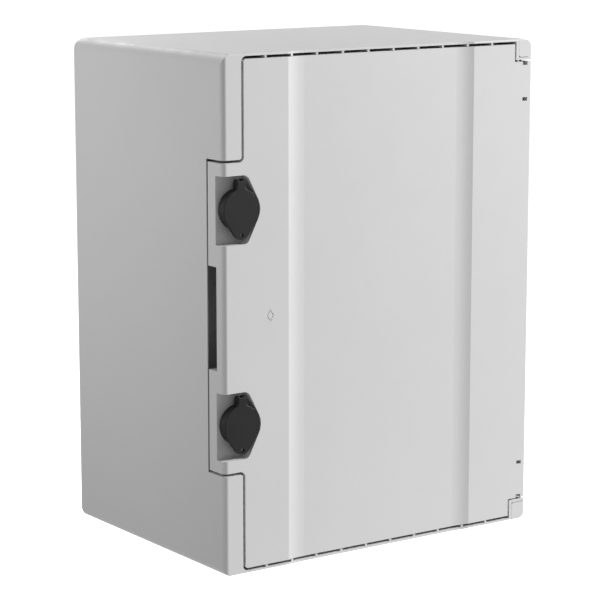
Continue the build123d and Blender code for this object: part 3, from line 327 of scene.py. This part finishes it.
SLOT_MATERIALS = {
    "enclosure_grey": moulded(
        "enclosure_plastic", ENCLOSURE, roughness=0.5, mottle=0.012, depth=0.03 * MM
    ),
    "lock_black": moulded(
        "lock_plastic", (0.015, 0.015, 0.016), roughness=0.5, mottle=0.08, gloss=0.25
    ),
    "seal_rubber": rubber("seal_rubber", (0.020, 0.020, 0.021)),
    "zinc_steel": plated_steel("zinc_plated_steel", (0.66, 0.67, 0.68), 0.34),
    "dark_steel": plated_steel("blackened_steel", (0.07, 0.07, 0.075), 0.42),
    "zinc_cast": cast_metal("zinc_die_casting", (0.62, 0.62, 0.63)),
    "device_grey": moulded("device_plastic_grey", (0.36, 0.37, 0.38), roughness=0.46, mottle=0.03),
    "device_white": moulded("device_plastic_white", (0.74, 0.74, 0.71), roughness=0.44, mottle=0.02),
    "cartridge": moulded("cartridge_plastic", (0.060, 0.066, 0.078), roughness=0.42, mottle=0.06),
    "terminal_beige": moulded("terminal_plastic", (0.42, 0.40, 0.33), roughness=0.5, mottle=0.03),
    "knob_red": moulded("knob_plastic", (0.50, 0.022, 0.016), roughness=0.3, mottle=0.04, gloss=0.5),
    "fuse_ceramic": fuse_barrel("fuse_barrel"),
    "copper": tarnished("copper", (0.80, 0.42, 0.27), (0.40, 0.19, 0.11)),
    "brass": tarnished("brass", (0.78, 0.58, 0.24), (0.42, 0.28, 0.10)),
    "gland_grey": moulded("gland_polyamide", (0.27, 0.275, 0.28), roughness=0.52, mottle=0.04),
    "lead_red": insulation("lead_red", (0.46, 0.020, 0.014)),
    "lead_black": insulation("lead_black", (0.018, 0.018, 0.019)),
    "lead_earth": earth_insulation("lead_earth"),
}

NODE_MATERIALS = {"mounting_plate": galvanised("galvanised_sheet")}

for part in frame["record"]["subparts"]:
    node = nodes[part["node"]]
    chosen = NODE_MATERIALS.get(part["node"], SLOT_MATERIALS[part["material_slot"]])
    for material_slot in node.material_slots:
        material_slot.material = chosen


# ------------------------------------------------------------------ small fittings
def ring_points(width, height, corner, steps=6):
    """A rounded rectangle as (x, z) points."""
    points = []
    for quarter, (sx, sz) in enumerate(((1, 1), (-1, 1), (-1, -1), (1, -1))):
        middle = (sx * (width / 2 - corner), sz * (height / 2 - corner))
        for i in range(steps + 1):
            angle = math.pi / 2 * (quarter + i / steps)
            x = middle[0] + corner * math.cos(angle)
            points.append((x, middle[1] + corner * math.sin(angle)))
    return points


def raised(name, back, layers, material, body):
    """A small raised piece that faces the door: outlines stacked forward from its back."""
    mesh = bpy.data.meshes.new(name)
    bm = bmesh.new()
    rings = []
    for height, (width, tall, corner) in layers:
        outline = ring_points(width, tall, corner)
        rings.append([bm.verts.new((x, -height, z)) for x, z in outline])
    for lower, upper in zip(rings, rings[1:]):
        for i in range(len(lower)):
            j = (i + 1) % len(lower)
            bm.faces.new((lower[i], lower[j], upper[j], upper[i]))
    bm.faces.new(rings[-1])
    bm.faces.new(rings[0][::-1])
    bmesh.ops.recalc_face_normals(bm, faces=bm.faces)
    bm.to_mesh(mesh)
    bm.free()
    piece = bpy.data.objects.new(name, mesh)
    piece.location = back
    scene.collection.objects.link(piece)
    mesh.materials.append(material)
    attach(piece, body)


def chip(width, height, corner, thick):
    """The layers of a flat chip with a softened front edge."""
    soft = 0.15 * MM
    full = (width, height, corner)
    inset = (width - 2 * soft, height - 2 * soft, corner - soft)
    return [(0.0, full), (thick - soft, full), (thick, inset)]


def dome(radius, rise, steps=6):
    """The layers of a round lens."""
    layers = []
    for i in range(steps):
        angle = math.pi / 2 * i / steps
        r = radius * math.cos(angle)
        layers.append((rise * math.sin(angle), (2 * r, 2 * r, 0.999 * r)))
    return layers


def status_windows():
    """A green window in the recess on the front of each surge cartridge."""
    green = lens("status_green", (0.03, 0.42, 0.07))
    recess, above_middle = 1.0 * MM, 7.0 * MM
    for i in range(1, SURGE_COUNT + 1):
        low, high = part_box(f"surge_cartridge_{i}")
        back = ((low.x + high.x) / 2, low.y + recess, (low.z + high.z) / 2 + above_middle)
        layers = chip(5.8 * MM, 5.8 * MM, 0.5 * MM, 0.6 * MM)
        raised(f"status_window_{i}", back, layers, green, f"cartridge_{i}")


def fuse_lamps():
    """A red blown-fuse lamp on the face of each fuse carrier, below its grip."""
    red = lens("lamp_red", (0.45, 0.02, 0.012))
    grip, below_middle = 9.0 * MM, 8.0 * MM
    for i in range(1, FUSE_COUNT + 1):
        low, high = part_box(f"fuse_carrier_{i}")
        back = ((low.x + high.x) / 2, low.y + grip, (low.z + high.z) / 2 - below_middle)
        raised(f"fuse_lamp_{i}", back, dome(1.6 * MM, 0.7 * MM), red, f"fuse_{i}")


def knob_pointer():
    """A white insert in the groove at the top of the switch knob."""
    low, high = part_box("switch_knob")
    groove, above_middle = 1.0 * MM, 13.5 * MM
    back = ((low.x + high.x) / 2, low.y + groove, (low.z + high.z) / 2 + above_middle)
    layers = chip(1.5 * MM, 6.8 * MM, 0.4 * MM, 0.8 * MM)
    white = moulded("pointer_white", (0.80, 0.80, 0.78), roughness=0.4, mottle=0.02)
    raised("knob_pointer", back, layers, white, "knob")


def terminal_markers():
    """A blank marker strip on each terminal block."""
    low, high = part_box("terminal_blocks")
    pitch = (high.x - low.x) / TERMINAL_COUNT
    white = moulded("marker_white", (0.78, 0.78, 0.75), roughness=0.45, mottle=0.02)
    layers = chip(5.4 * MM, 9.0 * MM, 0.5 * MM, 0.4 * MM)
    for i in range(TERMINAL_COUNT):
        back = (low.x + (i + 0.5) * pitch, low.y, (low.z + high.z) / 2)
        raised(f"terminal_marker_{i + 1}", back, layers, white, "box")


status_windows()
fuse_lamps()
knob_pointer()
terminal_markers()


# ------------------------------------------------------------------ floor, light, camera
def stage_floor():
    mesh = bpy.data.meshes.new("floor")
    z = cad_box[0][2] - FLOOR_DROP
    half = FLOOR_HALF
    corners = [(-half, -half, z), (half, -half, z), (half, half, z), (-half, half, z)]
    mesh.from_pydata(corners, [], [(0, 1, 2, 3)])
    floor = bpy.data.objects.new("floor", mesh)
    scene.collection.objects.link(floor)
    s = Shader("floor_paper")
    s.set(
        Base_Color=s.tint((0.93, 0.93, 0.93), s.ramp(s.noise(2.0), 0.995, 1.0)),
        Roughness=0.9,
        Emission_Color=(1.0, 1.0, 1.0),
        Emission_Strength=FLOOR_GLOW,
    )
    mesh.materials.append(s.material)
    floor.visible_diffuse = False
    floor.visible_glossy = False
    floor.visible_shadow = False


def softbox(name, target, direction, distance, size, power):
    """An area light that looks at the target from the given direction."""
    data = bpy.data.lights.new(name, "AREA")
    data.shape = "RECTANGLE"
    data.size, data.size_y = size
    data.energy = power
    lamp = bpy.data.objects.new(name, data)
    lamp.visible_camera = False
    scene.collection.objects.link(lamp)
    away = Vector(direction).normalized()
    lamp.location = Vector(target) + away * distance
    lamp.rotation_euler = away.to_track_quat("Z", "Y").to_euler()


def world_light(strength):
    world = bpy.data.worlds.new("studio")
    scene.world = world
    world.use_nodes = True
    background = world.node_tree.nodes["Background"]
    background.inputs["Color"].default_value = (1.0, 1.0, 1.0, 1.0)
    background.inputs["Strength"].default_value = strength


def camera():
    data = bpy.data.cameras.new("camera")
    data.lens = LENS_MM
    data.sensor_width = 36.0
    data.clip_end = 50.0
    eye = bpy.data.objects.new("camera", data)
    scene.collection.objects.link(eye)
    eye.location = EYE
    eye.rotation_euler = (math.radians(90.0 - EYE_PITCH), 0.0, math.radians(-EYE_YAW))
    scene.camera = eye


def from_side(azimuth, elevation):
    """A direction, with azimuth 0 in front of the door and 90 to its right."""
    a, e = math.radians(azimuth), math.radians(elevation)
    return (math.sin(a) * math.cos(e), -math.cos(a) * math.cos(e), math.sin(e))


world_light(WORLD)
softbox("key", MIDDLE, from_side(65, 22), 2.8, (0.4, 0.4), 120.0)
softbox("floor_bounce", MIDDLE, (0.1, -0.3, -1.0), 1.6, (1.2, 1.2), 15.0)
softbox("rim", MIDDLE, from_side(172, 28), 2.2, (0.9, 0.5), 17.0)
softbox("left_fill", LEFT_TOP, (-1.0, 0.3, 0.0), 0.5, (0.5, 0.55), 1.45)
stage_floor()
camera()
scene.view_settings.view_transform = "Standard"
scene.view_settings.look = "None"
